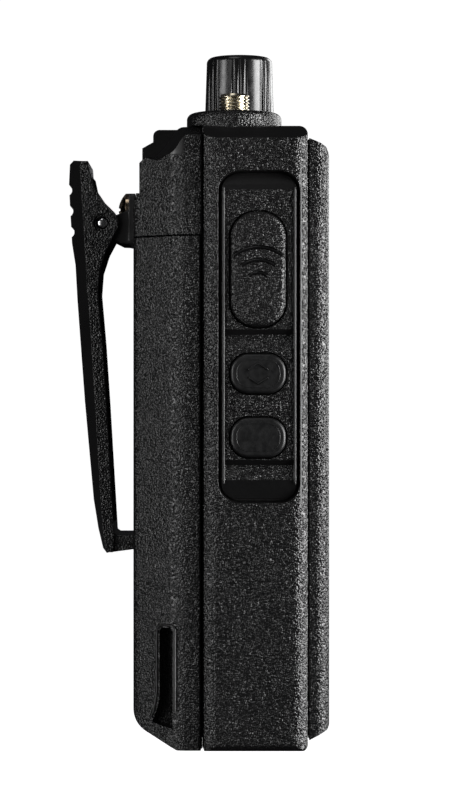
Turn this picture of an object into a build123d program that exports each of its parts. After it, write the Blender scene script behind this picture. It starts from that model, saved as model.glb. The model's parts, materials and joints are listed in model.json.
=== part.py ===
"""Handheld two-way radio with a rear battery pack and a sprung belt clip.

Frame: millimetres, +Z up, the front (speaker) faces -Y, the talk key is on the -X side.
The origin is on the underside of the main housing, on its centre plane.
"""

import math
import os

from build123d import *

os.makedirs("parts", exist_ok=True)

# ---- driving dimensions -------------------------------------------------------------------
panel_width = 60.0  # across the two side panels
panel_front = -15.8  # front face of the main housing
panel_back = 5.6  # rear edge of the side panels
housing_back = 5.9  # rear face of the main housing
cover_front = -20.3
cover_back = -16.1
pack_front = 6.2
pack_back = 20.4
pack_width = 56.0
flank_round = 6.0  # between the pack's flanks and its bevels
seam_round = 0.4  # on the pack's and cap's edges beside the housing
body_top = 129.0
pack_top = 106.0
cap_bottom = 106.3

shoulder_z = 126.0  # the sloping shoulders start here
shoulder_x = 25.4  # and end here, at the flat top
plinth_width = 53.0
cavity_x = 27.0
cavity_back = 3.4
cavity_bottom = 3.6
cavity_top = 124.6

antenna = (-16.0, -0.7)
collar_radius = 9.95
collar_seat = 129.25
collar_top = 132.3
knob_places = {"channel": (3.0, -1.9), "volume": (20.0, -1.9)}
boss_radius = 7.8
boss_top = 130.4
light_place = (11.5, -13.2)

keys_y = -5.6  # centre line of the side keys
recess_centre = (-5.8, 85.15)
recess_size = (16.9, 68.3)
recess_depth = 1.8
talk_key = (11.4, 23.8, 99.0)  # width, height, centre height
upper_key = (11.4, 8.2, 77.6)
lower_key = (11.4, 8.2, 64.5)
key_gap = 0.3
key_back = -27.4

jack_y = -6.0
plug_heights = {"speaker": (100.0, 1.8), "microphone": (111.2, 1.3)}
flap_axis = (29.2, 1.0)
flap_z = (93.3, 117.3)
flap_y = (-11.7, 1.0)

screw_places = [(-22.4, 8.0), (22.4, 8.0), (-22.4, 90.0), (22.4, 90.0)]
board_screw_places = [(-18.0, 14.0), (18.0, 14.0), (-18.0, 100.0), (12.0, 100.0)]
cap_screw_places = [(-23.5, 112.0), (23.5, 112.0)]
rail_x = 17.0
rail_z = (1.5, 98.0)

speaker_z = 86.0
microphone_at = (-14.0, 50.0)
control_low = 116.6  # underside of the two rotary controls
knob_seat = 131.0
connector_low = 117.0
connector_top = 136.4

cells_low = 27.0  # the battery pack is solid under this
cells_top = 103.8
contact_places = [(-11.0, 27.0), (11.0, 27.0)]
pad_places = [(-5.0, 11.2), (0.0, 11.2), (5.0, 11.2)]
plunger_places = [(-5.0, 10.9), (0.0, 10.9), (5.0, 10.9)]
latch_z = 12.3
board_front = -1.2  # front face of the main board, where its parts stand

clip_pin_at = (27.25, 109.8)  # y, z
clip_half = 11.2
clip_screw_places = [(-4.2, 113.0), (4.2, 113.0)]


def save(builder, name):
    """Labels a finished piece and writes its STEP."""
    builder.part.label = name
    export_step(builder.part, f"parts/{name}.step")


def along_y(x, y, z):
    """A plane at a point, whose normal points back, along +Y."""
    return Plane(origin=(x, y, z), x_dir=(1, 0, 0), z_dir=(0, 1, 0))


def outline(points):
    """A closed face through points, inside the sketch that is open."""
    Polygon(*points, align=None)


def back_outline(inset, front, back):
    """Half-octagon section of the battery pack and rear cap, inset all round, inside an open sketch."""
    half = pack_width / 2 - inset
    bevel_x = 8.0
    bevel_y = 9.1
    outline(
        [
            (-half, front),
            (-half, back - bevel_y),
            (-half + bevel_x, back),
            (half - bevel_x, back),
            (half, back - bevel_y),
            (half, front),
        ]
    )


# ---- housing --------------------------------------------------------------------------------
half_width = panel_width / 2
edge_radius = 3.6  # the long edges curve in from the flanks
edge_run = 2.9  # over this distance
edge_drop = edge_radius - math.sqrt(edge_radius**2 - edge_run**2)
half_turn = math.asin(edge_run / edge_radius) / 2
edge_middle = (edge_radius * (1 - math.cos(half_turn)), edge_run - edge_radius * math.sin(half_turn))
with BuildPart() as main_housing:
    with BuildSketch():
        with BuildLine():
            for end, inward in ((panel_front, 1), (panel_back, -1)):
                face = Line((-inward * (half_width - edge_drop), end), (inward * (half_width - edge_drop), end))
                bend = (inward * (half_width - edge_middle[0]), end + inward * edge_middle[1])
                ThreePointArc(face @ 1, bend, (inward * half_width, end + inward * edge_run))
                bend = (-inward * (half_width - edge_middle[0]), end + inward * edge_middle[1])
                ThreePointArc(face @ 0, bend, (-inward * half_width, end + inward * edge_run))
            for side in (-half_width, half_width):
                Line((side, panel_front + edge_run), (side, panel_back - edge_run))
        make_face()
        with Locations((0, housing_back - 3)):
            Rectangle(plinth_width, 6)
    extrude(amount=body_top)
    with BuildSketch(Plane.XZ) as front_outline:
        outline(
            [
                (-panel_width / 2, 0),
                (panel_width / 2, 0),
                (panel_width / 2, shoulder_z),
                (shoulder_x, body_top),
                (-shoulder_x, body_top),
                (-panel_width / 2, shoulder_z),
            ]
        )
        fillet(front_outline.vertices().group_by(Axis.Y)[0], 1.5)
        fillet(front_outline.vertices().group_by(Axis.Y)[-1], 4)
    extrude(amount=30, both=True, mode=Mode.INTERSECT)
    with BuildSketch(Plane.YZ) as side_outline:
        outline([(panel_front, 0), (housing_back, 0), (housing_back, body_top), (panel_front, body_top)])
        fillet(side_outline.vertices().group_by(Axis.X)[0].sort_by(Axis.Y)[-1], 2.0)
        fillet(side_outline.vertices().group_by(Axis.X)[0].sort_by(Axis.Y)[0], 1.4)
        fillet(side_outline.vertices().group_by(Axis.X)[-1].sort_by(Axis.Y)[0], 0.8)
    extrude(amount=panel_width, both=True, mode=Mode.INTERSECT)
    # antenna collar and the two knob bosses
    with BuildSketch(Plane.XY.offset(shoulder_z)):
        with Locations(antenna):
            Circle(collar_radius)
        with Locations((0, housing_back - 20)):
            Rectangle(panel_width, 40, mode=Mode.INTERSECT)
    extrude(amount=collar_seat - shoulder_z)
    with BuildSketch(Plane.XY.offset(collar_seat)):
        with Locations(antenna):
            Circle(collar_radius)
    extrude(amount=collar_top - collar_seat)
    with BuildSketch(Plane.XY.offset(shoulder_z)):
        with Locations(*knob_places.values()):
            Circle(boss_radius)
    extrude(amount=boss_top - shoulder_z)
    fillet(main_housing.edges().filter_by_position(Axis.Z, collar_top - 0.01, collar_top + 0.01), 1.4)
    fillet(main_housing.edges().filter_by_position(Axis.Z, boss_top - 0.01, boss_top + 0.01), 0.8)
    # inside
    with BuildSketch(Plane.XY.offset(cavity_bottom)):
        with Locations((0, (panel_front - 2 + cavity_back) / 2)):
            Rectangle(2 * cavity_x, cavity_back - panel_front + 2)
    extrude(amount=cavity_top - cavity_bottom, mode=Mode.SUBTRACT)
    # openings in the top
    with Locations((*antenna, collar_top)):
        Hole(3.25, depth=8)
    with Locations(*[(*at, boss_top) for at in knob_places.values()]):
        Hole(3.6, depth=8)
    with Locations((*light_place, body_top)):
        Hole(1.35, depth=6)
    # recess and window of the side keys
    with BuildSketch(Plane.YZ.offset(-panel_width / 2)):
        with Locations(recess_centre):
            RectangleRounded(*recess_size, 4.2)
    extrude(amount=recess_depth, taper=12, mode=Mode.SUBTRACT)
    with BuildSketch(Plane.YZ.offset(-panel_width / 2)):
        with Locations(recess_centre):
            RectangleRounded(13.6, 62.0, 2.0)
    extrude(amount=5, mode=Mode.SUBTRACT)
    # recess of the accessory flap, its hinge groove and pin holes, and the plug openings
    with BuildSketch(Plane.YZ.offset(panel_width / 2)):
        with Locations(((flap_y[0] - 0.2 + flap_axis[1] + 1.12) / 2, sum(flap_z) / 2)):
            RectangleRounded(flap_axis[1] + 1.12 - flap_y[0] + 0.2, flap_z[1] - flap_z[0] + 0.6, 0.4)
    extrude(amount=-1.8, mode=Mode.SUBTRACT)
    with BuildSketch(Plane.XY.offset(flap_z[0] - 0.3)):
        with Locations(flap_axis):
            Circle(1.12)
    extrude(amount=flap_z[1] - flap_z[0] + 0.6, mode=Mode.SUBTRACT)
    with BuildSketch(Plane.XY.offset(flap_z[0] - 1.8)):
        with Locations(flap_axis):
            Circle(0.42)
    extrude(amount=flap_z[1] - flap_z[0] + 3.6, mode=Mode.SUBTRACT)
    for height, radius in plug_heights.values():
        with BuildSketch(Plane.YZ.offset(panel_width / 2)):
            with Locations((jack_y, height)):
                Circle(radius + 1.25)
        extrude(amount=-5, mode=Mode.SUBTRACT)
    # screw holes in the rear wall
    with Locations(*[along_y(x, housing_back, z) for x, z in screw_places]):
        CounterBoreHole(1.15, 2.2, 1.5, depth=5)
    with Locations(*[along_y(x, housing_back, z) for x, z in cap_screw_places]):
        Hole(1.05, depth=5)
    # T rails for the battery pack
    for side in (-1, 1):
        with BuildSketch(Plane.XY.offset(rail_z[0])):
            with Locations((side * rail_x, housing_back + 0.4)):
                Rectangle(2.0, 0.9)
            with Locations((side * rail_x, housing_back + 1.25)):
                Rectangle(4.0, 0.8)
        extrude(amount=rail_z[1] - rail_z[0])

with BuildPart() as front_cover:
    with BuildSketch() as cover_section:
        with Locations((0, (cover_front + cover_back) / 2)):
            Rectangle(56.8, cover_back - cover_front)
        fillet(cover_section.vertices().group_by(Axis.Y)[0], 2.8)
    extrude(amount=body_top)
    with BuildSketch(Plane.YZ) as cover_profile:
        outline(
            [
                (cover_back, 2.2),
                (-18.2, 3.3),
                (-19.9, 4.3),
                (cover_front, 5.2),
                (cover_front, 122.9),
                (-19.7, 124.3),
                (-18.4, 125.15),
                (cover_back, 126.1),
            ]
        )
    extrude(amount=panel_width, both=True, mode=Mode.INTERSECT)
    fillet(front_cover.edges().filter_by(GeomType.LINE).filter_by(Axis.X).group_by(Axis.Y)[0], 0.5)
    # hollow, with a lip that enters the main housing
    with BuildSketch(Plane.XZ.offset(-cover_back)):
        with Locations((0, 64)):
            Rectangle(51.6, 114)
    extrude(amount=2.1, mode=Mode.SUBTRACT)
    with BuildSketch(Plane.XZ.offset(-cover_back - 1.6)):
        with Locations((0, (cavity_bottom + cavity_top) / 2)):
            Rectangle(53.4, 120.2)
            Rectangle(50.4, 117.2, mode=Mode.SUBTRACT)
    extrude(amount=1.9)
    with BuildSketch(Plane.XZ.offset(6)):
        with Locations(*screw_places):
            Circle(2.3)
    extrude(amount=12.3)
    with BuildSketch(Plane.XZ.offset(6)):
        with Locations(*screw_places):
            Circle(1.02)
    extrude(amount=9.6, mode=Mode.SUBTRACT)
    # speaker field: a shallow eight-sided recess with slots through it
    with BuildSketch(Plane.XZ.offset(-cover_front)) as field:
        with Locations((0, speaker_z)):
            Rectangle(46, 52)
        chamfer(field.vertices(), 9)
    extrude(amount=-0.7, taper=30, mode=Mode.SUBTRACT)
    slot_rows = 9
    slot_pitch = 4.6
    with BuildSketch(Plane.XZ.offset(-cover_front)):
        for row in range(slot_rows):
            rise = (row - (slot_rows - 1) / 2) * slot_pitch
            reach = min(36.0, 2 * (30.0 - abs(rise)))
            with Locations((0, speaker_z + rise)):
                SlotOverall(reach, 2.0)
    extrude(amount=-5, mode=Mode.SUBTRACT)
    # microphone port and the grip grooves under the speaker
    port = (microphone_at[0], cover_front, microphone_at[1])
    with Locations(Plane(origin=port, x_dir=(1, 0, 0), z_dir=(0, -1, 0))):
        Hole(0.8, depth=5)
    with BuildSketch(Plane.XZ.offset(-cover_front)):
        with GridLocations(0, 4.2, 1, 6):
            with Locations((0, 28)):
                SlotOverall(34, 1.5)
    extrude(amount=-0.6, mode=Mode.SUBTRACT)

with BuildPart() as housing_seal:
    with BuildSketch(Plane.XZ.offset(-panel_front)):
        with Locations((0, 64.25)):
            RectangleRounded(56.0, 123.4, 1.2)
        with Locations((0, (cavity_bottom + cavity_top) / 2)):
            Rectangle(54.0, 121.0, mode=Mode.SUBTRACT)
    extrude(amount=0.3)

# ---- rear cap: a scooped cap over the battery pack --------------------------------------------
cap_mid = 14.0  # half width of the raised middle
cap_step = 19.1  # back of the upper part, just inside the pack's
scoop = [(9.6, 129.0), (11.7, 127.8), (13.6, 124.9), (15.4, 123.1), (17.8, 122.7)]
scoop_rim = [(8.6, 126.8), (9.8, 126.2), (11.6, 123.3), (13.9, 121.0), (17.6, 120.2)]
with BuildPart() as rear_cap:
    with BuildSketch(Plane.YZ):
        with BuildLine():
            foot = Polyline(
                (cap_step, 114.3),
                (pack_back, 113.8),
                (pack_back, cap_bottom),
                (housing_back, cap_bottom),
                (housing_back, scoop[0][1]),
                scoop[0],
            )
            Spline(*scoop, tangents=((1, 0), (1, 0)))
            Line(scoop[-1], (cap_step, 121.6))
            Line((cap_step, 121.6), foot @ 0)
        make_face()
    extrude(amount=pack_width / 2, both=True)
    with BuildSketch(Plane.YZ) as middle:
        outline(
            [
                (housing_back, 120),
                (housing_back, 129.2),
                (16.4, 129.2),
                (16.4, 126.6),
                (18.7, 125.3),
                (18.7, 114.0),
                (17.0, 114.0),
            ]
        )
        fillet(middle.vertices().group_by(Axis.Y)[-1].sort_by(Axis.X)[-1], 1.4)
    extrude(amount=cap_mid, both=True)
    with BuildSketch(Plane.YZ):
        with Locations((18.9, 113)):
            Rectangle(2.6, 6.4)
    extrude(amount=9.4, both=True)
    with BuildSketch(Plane.XY.offset(100)) as cap_section:
        back_outline(0, housing_back, pack_back)
        fillet(cap_section.vertices().group_by(Axis.Y)[-1], 3)
        fillet(cap_section.vertices().group_by(Axis.Y)[1], flank_round)
        fillet(cap_section.vertices().group_by(Axis.Y)[0], seam_round)
    extrude(amount=40, mode=Mode.INTERSECT)
    # the scoop falls away towards the flanks
    for side in (-1, 1):
        for x, line in ((22.0, scoop), (28.2, scoop_rim)):
            with BuildSketch(Plane.YZ.offset(side * x)):
                with BuildLine():
                    Spline(*line, tangents=((1, 0), (1, 0)))
                    Polyline(line[-1], (24, line[-1][1]), (24, 135), (2, 135), (2, line[0][1]), line[0])
                make_face()
        loft(ruled=True, mode=Mode.SUBTRACT)
    # inside, with an opening for the terminal block
    with BuildSketch(Plane.XY.offset(110)):
        with Locations((0, 10.4)):
            Rectangle(42, 9.0)
    extrude(amount=10, mode=Mode.SUBTRACT)
    with BuildSketch(Plane.XY.offset(cap_bottom)):
        with Locations((0, 10.9)):
            Rectangle(18.2, 5.2)
    extrude(amount=5, mode=Mode.SUBTRACT)
    with Locations(*[along_y(x, pack_back, z) for x, z in clip_screw_places]):
        Hole(1.5, depth=6)
    for x, z in cap_screw_places:
        with Locations(Plane(origin=(x, housing_back, z), x_dir=(1, 0, 0), z_dir=(0, -1, 0))):
            Hole(0.97, depth=6)

# ---- battery pack -----------------------------------------------------------------------------
with BuildPart() as battery_case:
    with BuildSketch() as case_section:
        back_outline(0, pack_front, pack_back)
        fillet(case_section.vertices().group_by(Axis.Y)[-1], 3)
        fillet(case_section.vertices().group_by(Axis.Y)[1], flank_round)
        fillet(case_section.vertices().group_by(Axis.Y)[0], seam_round)
    extrude(amount=pack_top)
    with BuildSketch(Plane.YZ) as case_profile:
        outline([(pack_front, 0), (11.2, 0), (pack_back, 4.8), (pack_back, pack_top), (pack_front, pack_top)])
        fillet(case_profile.vertices().group_by(Axis.X)[-1].sort_by(Axis.Y)[0], 5)
        fillet(case_profile.vertices().filter_by_position(Axis.X, 11.1, 11.3), 1)
    extrude(amount=pack_width, both=True, mode=Mode.INTERSECT)
    # inside
    with BuildSketch(Plane.XY.offset(cells_low)):
        back_outline(1.8, pack_front, pack_back - 1.8)
    extrude(amount=cells_top - cells_low, mode=Mode.SUBTRACT)
    # T slots for the rails, open at the top
    for side in (-1, 1):
        with BuildSketch(Plane.XY.offset(rail_z[0] - 0.5)):
            with Locations((side * rail_x, pack_front + 0.25)):
                Rectangle(2.6, 0.5)
            with Locations((side * rail_x, pack_front + 1.1)):
                Rectangle(4.6, 1.4)
        extrude(amount=pack_top, mode=Mode.SUBTRACT)
    # charger guide slots in the bevelled flanks
    for side in (-1, 1):
        with BuildSketch(Plane.YZ.offset(side * 21)):
            with BuildLine():
                straight = Polyline(
                    (14.75, 12.0),
                    (14.75, 24.6),
                    (14.2, 25.1),
                    (12.6, 25.1),
                    (12.1, 24.6),
                    (12.1, 4.4),
                    (16.4, 5.4),
                )
                Spline(straight @ 1, (15.4, 8.0), straight @ 0, tangents=((-0.4, 1), (0, 1)))
            make_face()
        extrude(amount=side * 10, mode=Mode.SUBTRACT)
    # latch pocket and spring chamber
    with BuildSketch(Plane.XZ.offset(-pack_back)):
        with Locations((0, latch_z + 1.6)):
            RectangleRounded(16.6, 10.6, 1.2)
    extrude(amount=1.6, mode=Mode.SUBTRACT)
    with BuildSketch(Plane.XZ.offset(-pack_back)):
        with Locations((0, latch_z + 2.1)):
            Rectangle(5.6, 8.8)
    extrude(amount=6, mode=Mode.SUBTRACT)
    # pockets for the top pads and the charging contacts
    with BuildSketch(Plane.XY.offset(pack_top)):
        with Locations(*pad_places):
            Rectangle(3.2, 4.2)
    extrude(amount=-0.4, mode=Mode.SUBTRACT)
    with BuildSketch(Plane.XZ.offset(-pack_back)):
        with Locations(*contact_places):
            Circle(2.6)
    extrude(amount=0.5, mode=Mode.SUBTRACT)

with BuildPart() as battery_lid:
    with BuildSketch(Plane.XY.offset(cells_low + 0.1)):
        with Locations((0, pack_front + 1.3)):
            Rectangle(52.2, 2.6)
        for side in (-1, 1):
            with Locations((side * rail_x, pack_front + 0.25)):
                Rectangle(2.6, 0.5, mode=Mode.SUBTRACT)
            with Locations((side * rail_x, pack_front + 1.1)):
                Rectangle(4.6, 1.4, mode=Mode.SUBTRACT)
    extrude(amount=cells_top - cells_low - 0.2)

with BuildPart() as battery_cells:
    for low in (28.0, 64.6):
        with BuildSketch(Plane.XY.offset(low)):
            with Locations((0, 13.5)):
                RectangleRounded(36.0, 8.8, 2.0)
        extrude(amount=35.6)

with BuildPart() as battery_board:
    with BuildSketch(Plane.XY.offset(101.6)):
        with Locations((0, 13.2)):
            Rectangle(34, 8)
    extrude(amount=1.2)

with BuildPart() as battery_pads:
    with BuildSketch(Plane.XY.offset(pack_top - 0.4)):
        with Locations(*pad_places):
            Rectangle(3.0, 4.0)
    extrude(amount=0.35)

with BuildPart() as charging_contacts:
    with BuildSketch(Plane.XZ.offset(-pack_back + 0.5)):
        with Locations(*contact_places):
            Circle(2.5)
    extrude(amount=-0.4)

with BuildPart() as battery_latch:
    with BuildSketch(Plane.XZ.offset(-pack_back + 1.4)):
        with Locations((0, latch_z)):
            RectangleRounded(16.2, 6.8, 1.0)
    extrude(amount=-1.2)
    with BuildSketch(Plane.XZ.offset(-pack_back + 4.6)):
        with Locations((0, latch_z)):
            Rectangle(5.0, 4.0)
    extrude(amount=-3.4)
    with BuildSketch(Plane.XZ.offset(-pack_back + 0.2)):
        with Locations((0, latch_z - 1.8), (0, latch_z), (0, latch_z + 1.8)):
            Rectangle(13.0, 0.7)
    extrude(amount=0.5, mode=Mode.SUBTRACT)

with BuildPart() as latch_spring:
    with BuildLine():
        latch_coil = Helix(pitch=0.9, height=3.6, radius=1.2, center=(0, 16.6, 14.7))
    with BuildSketch(Plane(origin=latch_coil @ 0, z_dir=latch_coil % 0)):
        Circle(0.25)
    sweep(path=latch_coil, is_frenet=True)

# ---- belt clip ----------------------------------------------------------------------------------
pin_y, pin_z = clip_pin_at
with BuildPart() as clip_bracket:
    with BuildSketch(Plane.XZ.offset(-pack_back)):
        with Locations((0, 110.8)):
            RectangleRounded(18.8, 10.8, 1.0)
    extrude(amount=-1.3)
    with BuildSketch(Plane.YZ):
        outline(
            [
                (20.8, 105.5),
                (23.3, 105.6),
                (pin_y - 0.8, pin_z - 2.6),
                (pin_y - 0.6, pin_z + 2.2),
                (24.3, 111.6),
                (20.8, 113.0),
            ]
        )
        with Locations(clip_pin_at):
            Circle(2.7)
    extrude(amount=9.3, both=True)
    with BuildSketch(Plane.YZ):
        with Locations((26.5, 110)):
            Rectangle(10, 20)
    extrude(amount=7.9, both=True, mode=Mode.SUBTRACT)
    with BuildSketch(Plane.YZ):
        with Locations(clip_pin_at):
            Circle(1.3)
    extrude(amount=12, both=True, mode=Mode.SUBTRACT)
    with Locations(*[along_y(x, pack_back + 1.3, z) for x, z in clip_screw_places]):
        Hole(1.6, depth=3)

with BuildPart() as clip_screws:
    for x, z in clip_screw_places:
        with BuildSketch(Plane(origin=(x, pack_back + 1.3, z), x_dir=(1, 0, 0), z_dir=(0, 0, 1))):
            with BuildLine():
                head = Polyline((0, 0), (3.5, 0), (3.5, 0.8))
                ThreePointArc(head @ 1, (2.1, 1.8), (0, 2.4))
                Line((0, 2.4), head @ 0)
            make_face()
        revolve(axis=Axis((x, 0, z), (0, 1, 0)))
        with BuildSketch(along_y(x, pack_back + 1.3, z)):
            Circle(1.45)
        extrude(amount=-5.2)
        with BuildSketch(along_y(x, pack_back + 3.8, z)):
            Rectangle(3.6, 0.7)
            Rectangle(0.7, 3.6)
        extrude(amount=-1.0, mode=Mode.SUBTRACT)

with BuildPart() as clip_pin:
    with BuildSketch(Plane.YZ.offset(-10.95)):
        with Locations(clip_pin_at):
            Circle(1.25)
    extrude(amount=21.9)
    fillet(clip_pin.edges().filter_by(GeomType.CIRCLE), 0.9)

# The lever: a crowned channel. Its ridge and its edge have the same number of corners.
inner_line = [(25.0, 39.9), (24.8, 43.4), (26.5, 72.0), (27.3, 84.0), (28.3, 95.5)]
inner_line += [(29.0, 106.0), (30.3, 122.9)]
ridge_line = [(33.6, 123.4), (34.4, 122.5), (34.6, 118.0), (33.95, 105.7), (33.2, 101.0), (32.8, 93.8)]
ridge_line += [(31.2, 72.0), (29.3, 51.0), (28.3, 44.8), (27.3, 40.6), (26.5, 39.5)]
edge_line = [(31.6, 122.9), (32.0, 121.9), (31.7, 117.0), (31.0, 105.7), (30.7, 101.0), (30.2, 93.8)]
edge_line += [(28.8, 72.0), (27.6, 51.0), (27.1, 44.5), (26.6, 41.0), (26.0, 39.9)]
crown_x = 6.5
channel_middle = [(20, 46), (27.1, 46), (29.0, 72), (30.7, 94), (32.2, 118), (31.2, 120.6), (20, 120.6)]
channel_side = [(20, 46), (26.1, 46), (27.9, 72), (29.4, 94), (30.4, 118), (30.0, 120.6), (20, 120.6)]
foot_line = [(20.7, 40.5), (25.3, 39.9), (27.0, 43.2), (26.0, 46.0), (25.4, 44.4), (24.2, 43.5)]
foot_line += [(20.7, 43.5)]

with BuildPart() as clip_lever:
    with BuildSketch(Plane.YZ):
        outline(inner_line + ridge_line)
    extrude(amount=crown_x, both=True)
    for side in (-1, 1):
        with BuildSketch(Plane.YZ.offset(side * crown_x)):
            outline(inner_line + ridge_line)
        with BuildSketch(Plane.YZ.offset(side * clip_half)):
            outline(inner_line + edge_line)
        loft(ruled=True)
    # ears round the pin
    for side in (-1, 1):
        with BuildSketch(Plane.YZ.offset(side * 9.5)) as ear:
            outline(
                [
                    (30.6, 121.5),
                    (29.7, 120.4),
                    (29.1, 117.6),
                    (26.6, 113.9),
                    (pin_y - 2.1, pin_z + 2.7),
                    (pin_y - 2.9, pin_z - 1.8),
                    (26.6, 103.8),
                    (27.9, 99.8),
                    (28.3, 94.5),
                    (30.6, 94.5),
                ]
            )
            with Locations(clip_pin_at):
                Circle(3.4)
        extrude(amount=side * (clip_half - 9.5))
    # channel
    with BuildSketch(Plane.YZ):
        outline(channel_middle)
    extrude(amount=crown_x, both=True, mode=Mode.SUBTRACT)
    for side in (-1, 1):
        with BuildSketch(Plane.YZ.offset(side * crown_x)):
            outline(channel_middle)
        with BuildSketch(Plane.YZ.offset(side * 9.5)):
            outline(channel_side)
        loft(ruled=True, mode=Mode.SUBTRACT)
    # foot that presses on the pack
    with BuildSketch(Plane.YZ):
        outline(foot_line)
    extrude(amount=10.4, both=True)
    # thumb grooves, pin bores and their counterbores
    with BuildSketch(Plane.YZ):
        with Locations((35.0, 117.1), (34.8, 112.6), (34.55, 108.1)):
            Circle(1.2)
    extrude(amount=7.6, both=True, mode=Mode.SUBTRACT)
    with BuildSketch(Plane.YZ):
        with Locations(clip_pin_at):
            Circle(1.32)
    extrude(amount=12, both=True, mode=Mode.SUBTRACT)
    for side in (-1, 1):
        with BuildSketch(Plane.YZ.offset(side * clip_half)):
            with Locations(clip_pin_at):
                Circle(1.85)
        extrude(amount=-side * 0.5, mode=Mode.SUBTRACT)

with BuildPart() as clip_spring:
    with BuildLine():
        coil_start = (-3.45, pin_y, pin_z)
        clip_coil = Helix(pitch=1.15, height=6.9, radius=2.1, center=coil_start, direction=(1, 0, 0))
    with BuildSketch(Plane(origin=clip_coil @ 0, z_dir=clip_coil % 0)):
        Circle(0.4)
    sweep(path=clip_coil, is_frenet=True)

# ---- top controls ---------------------------------------------------------------------------------
with BuildPart() as antenna_connector:
    with BuildSketch(Plane.XY.offset(connector_low)):
        with Locations(antenna):
            Circle(2.9)
    extrude(amount=collar_top - connector_low)
    with BuildSketch(Plane.XY.offset(collar_top)):
        with Locations(antenna):
            Circle(3.175)
    extrude(amount=connector_top - collar_top)
    with BuildSketch(Plane.XY.offset(120.4)):
        with Locations(antenna):
            RectangleRounded(10.4, 6.6, 0.8)
    extrude(amount=1.6)
    rim = antenna_connector.edges().filter_by_position(Axis.Z, connector_top - 0.01, connector_top + 0.01)
    chamfer(rim, 0.25)
    with Locations((*antenna, connector_top)):
        Hole(2.15, depth=22)

with BuildPart() as antenna_insulator:
    with BuildSketch(Plane.XY.offset(117.5)):
        with Locations(antenna):
            Circle(2.12)
            Circle(0.66, mode=Mode.SUBTRACT)
    extrude(amount=17.0)

with BuildPart() as antenna_contact:
    with BuildSketch(Plane.XY.offset(113.2)):
        with Locations(antenna):
            Circle(0.63)
    extrude(amount=21.2)
    with Locations((*antenna, 134.4)):
        Hole(0.4, depth=3)

with BuildPart() as antenna_nut:
    with BuildSketch(Plane.XY.offset(cavity_top - 2.4)):
        with Locations(antenna):
            RegularPolygon(4.2, 6)
            Circle(2.95, mode=Mode.SUBTRACT)
    extrude(amount=2.4)


def rotary_control(at, side):
    """A control's square body with its threaded bushing, standing on the control board."""
    with BuildPart() as control:
        with BuildSketch(Plane.XY.offset(control_low)):
            with Locations(at):
                Rectangle(side, side - 2)
        extrude(amount=5.6)
        with BuildSketch(Plane.XY.offset(control_low + 5.6)):
            with Locations(at):
                Circle(3.5)
        extrude(amount=10.0)
        with Locations((*at, 132.2)):
            Hole(3.08, depth=132.2 - control_low - 1.0)
    return control


def control_shaft(at):
    """A plain shaft with a flat at its upper end."""
    with BuildPart() as shaft:
        with BuildSketch(Plane.XY.offset(118)):
            with Locations(at):
                Circle(3.0)
        extrude(amount=25)
        with BuildSketch(Plane.XY.offset(134.5)):
            with Locations((at[0], at[1] + 3.0)):
                Rectangle(8, 2.4)
        extrude(amount=12, mode=Mode.SUBTRACT)
    return shaft


def knob(at, groups):
    """A tapered knob with flat lands and pairs of grip grooves, hollow over its nut."""
    with BuildPart() as made:
        with BuildSketch(Plane(origin=(*at, knob_seat), x_dir=(1, 0, 0), z_dir=(0, -1, 0))):
            with BuildLine():
                side = Polyline((0, 16.0), (0, 0), (7.55, 0), (7.1, 14.0))
                ThreePointArc(side @ 1, (6.85, 14.95), (6.1, 15.45))
                Line((6.1, 15.45), side @ 0)
            make_face()
        revolve(axis=Axis((*at, knob_seat), (0, 0, 1)))
        with BuildSketch(Plane.XY.offset(knob_seat)):
            with Locations(at):
                for turn in (-11, 0, 11):
                    with PolarLocations(7.6, groups, start_angle=180 + turn):
                        Circle(0.55)
        extrude(amount=16, mode=Mode.SUBTRACT)
        with Locations((*at, knob_seat)):
            Cylinder(5.9, 2.2, align=(Align.CENTER, Align.CENTER, Align.MIN), mode=Mode.SUBTRACT)
        with BuildSketch(Plane.XY.offset(knob_seat + 2.0)):
            with Locations(at):
                Circle(3.02)
            with Locations((at[0], at[1] + 3.02)):
                Rectangle(8, 2.4, mode=Mode.SUBTRACT)
        extrude(amount=10.1, mode=Mode.SUBTRACT)
        with BuildSketch(Plane.XY.offset(knob_seat + 2.0)):
            with Locations(at):
                Circle(3.02)
        extrude(amount=1.6, mode=Mode.SUBTRACT)
    return made


channel_switch = rotary_control(knob_places["channel"], 11.0)
volume_control = rotary_control(knob_places["volume"], 10.0)
channel_shaft = control_shaft(knob_places["channel"])
volume_shaft = control_shaft(knob_places["volume"])
channel_knob = knob(knob_places["channel"], 7)
volume_knob = knob(knob_places["volume"], 7)

with BuildPart() as knob_nuts:
    for at in knob_places.values():
        with BuildSketch(Plane.XY.offset(boss_top + 0.3)):
            with Locations(at):
                RegularPolygon(5.2, 6)
                Circle(3.53, mode=Mode.SUBTRACT)
        extrude(amount=1.4)

with BuildPart() as knob_seals:
    for at in knob_places.values():
        with BuildSketch(Plane.XY.offset(boss_top)):
            with Locations(at):
                Circle(5.4)
                Circle(3.53, mode=Mode.SUBTRACT)
        extrude(amount=0.3)

with BuildPart() as control_board:
    with BuildSketch(Plane.XY.offset(control_low - 1.2)):
        with Locations((2.0, -2.9)):
            Rectangle(48, 9.8)
        with Locations(antenna):
            Circle(0.7, mode=Mode.SUBTRACT)
    extrude(amount=1.2)

with BuildPart() as status_light:
    with BuildSketch(Plane.XY.offset(123.4)):
        with Locations(light_place):
            Circle(1.3)
    extrude(amount=5.9)
    fillet(status_light.edges().filter_by_position(Axis.Z, 129.29, 129.31), 0.5)

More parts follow.
